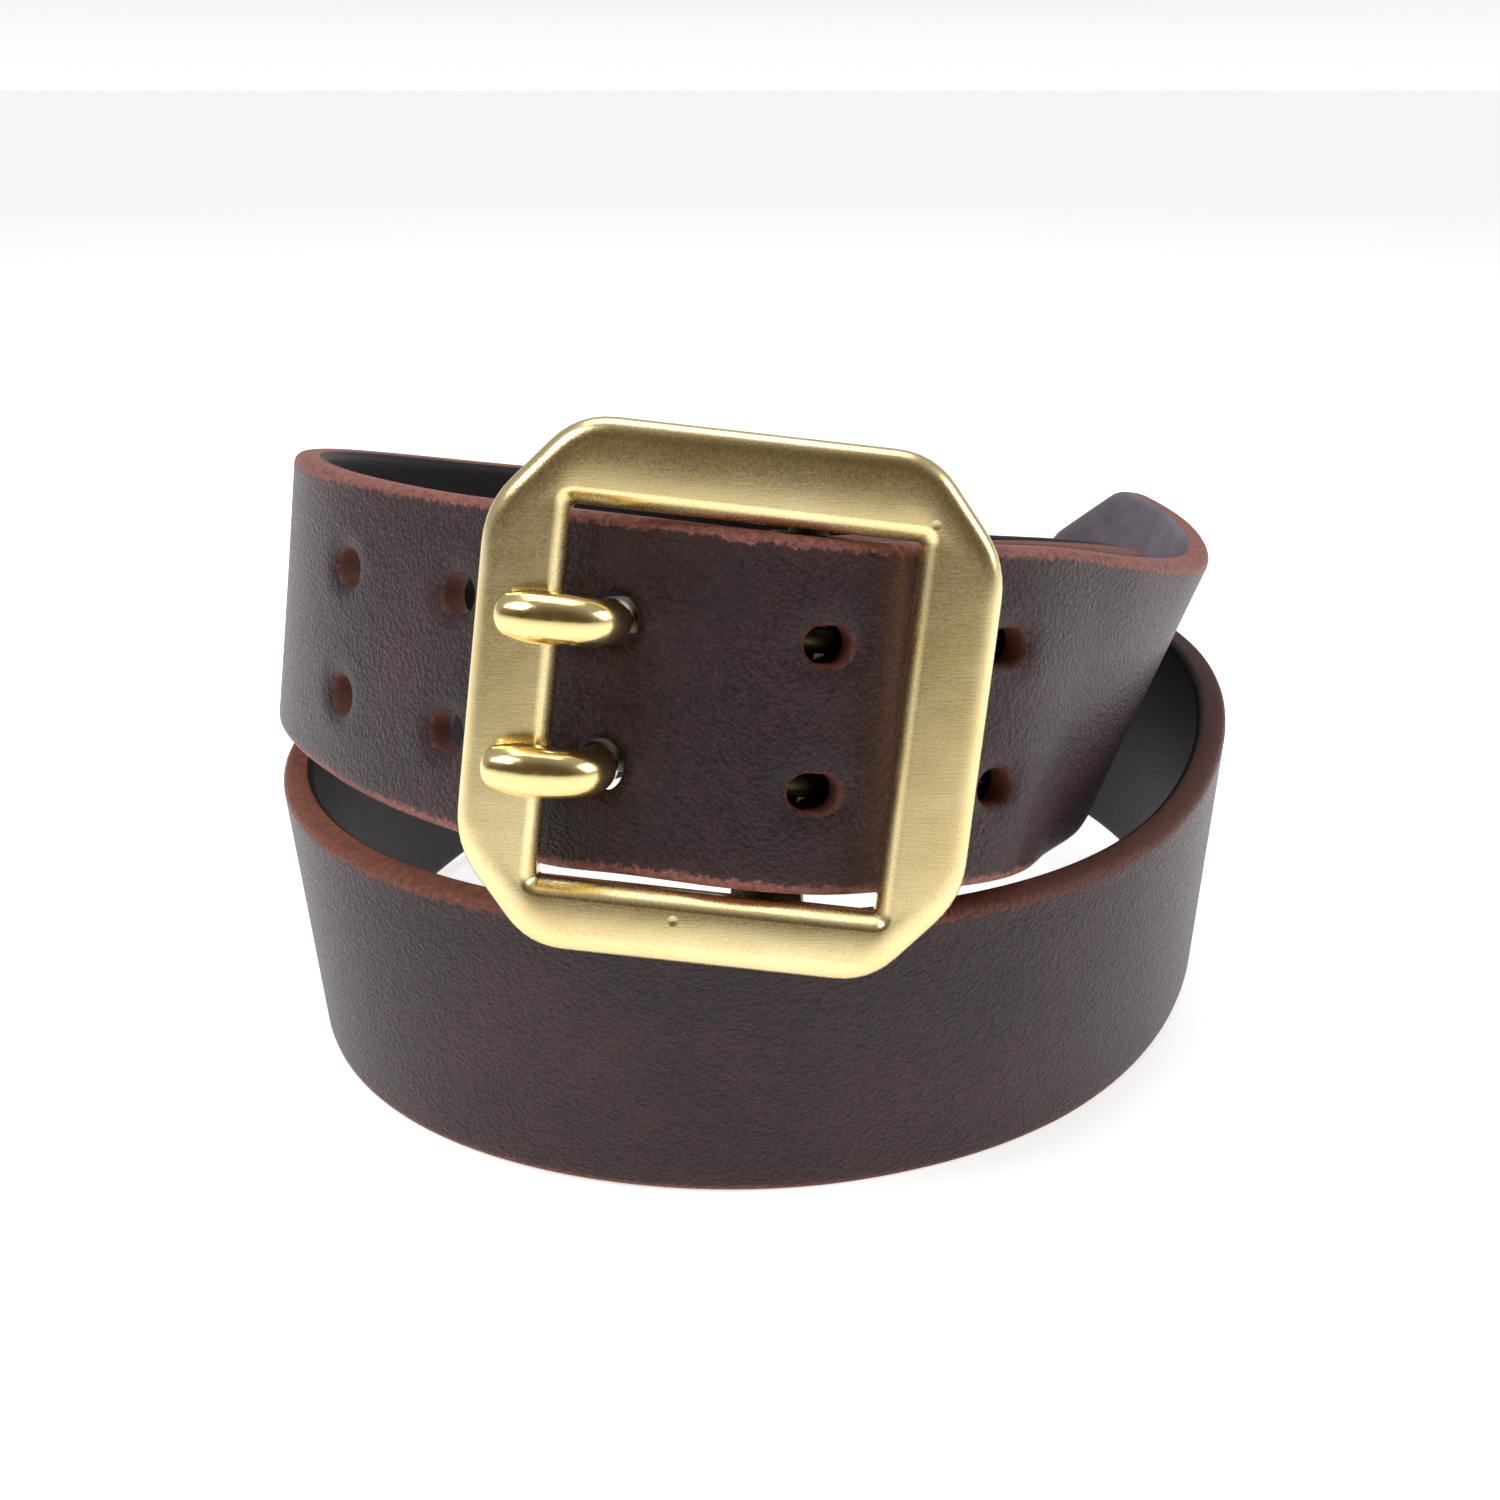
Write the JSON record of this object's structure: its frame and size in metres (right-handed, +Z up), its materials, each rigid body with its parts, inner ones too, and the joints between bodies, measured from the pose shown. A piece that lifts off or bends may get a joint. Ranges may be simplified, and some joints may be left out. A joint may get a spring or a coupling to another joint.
{
  "type": "leather belt",
  "caption": "Wide leather belt with a clipped-corner square brass buckle and paired prongs, buckled and wound into a standing coil.",
  "frame": {"origin": "under the middle of the belt's bounding box, on the surface it stands on", "axes": "+Z up across the strap's width, the buckle faces -Y"},
  "size_m": [0.1456, 0.155, 0.0978],
  "materials": {
    "leather": "smooth dark brown, satin",
    "brass": "satin, softly brushed",
    "polished_brass": "polished",
    "fastener_brass": "satin"
  },
  "bodies": {
    "strap": {"strap": "leather", "screw_post_1": "fastener_brass", "screw_post_2": "fastener_brass", "screw_post_3": "fastener_brass", "screw_post_4": "fastener_brass", "screw_1": "fastener_brass", "screw_2": "fastener_brass", "screw_3": "fastener_brass", "screw_4": "fastener_brass"},
    "buckle": {"buckle_frame": "brass", "buckle_bar": "brass"},
    "prong_upper": {"prong_upper": "polished_brass"},
    "prong_lower": {"prong_lower": "polished_brass"}
  },
  "joints": [
    {"name": "buckle_hinge", "type": "hinge", "parent": "strap", "child": "buckle", "pos_m": [0.00382, -0.05917, 0.06438], "axis": [0.1115, 0.2202, 0.9691], "range_deg": [-3, 1.5]},
    {"name": "prong_upper_hinge", "type": "hinge", "parent": "buckle", "child": "prong_upper", "pos_m": [0.00468, -0.05747, 0.07184], "axis": [0.1115, 0.2202, 0.9691], "range_deg": [0, 2.5]},
    {"name": "prong_lower_hinge", "type": "hinge", "parent": "buckle", "child": "prong_lower", "pos_m": [0.00283, -0.06112, 0.05575], "axis": [0.1115, 0.2202, 0.9691], "range_deg": [0, 2.5]}
  ]
}
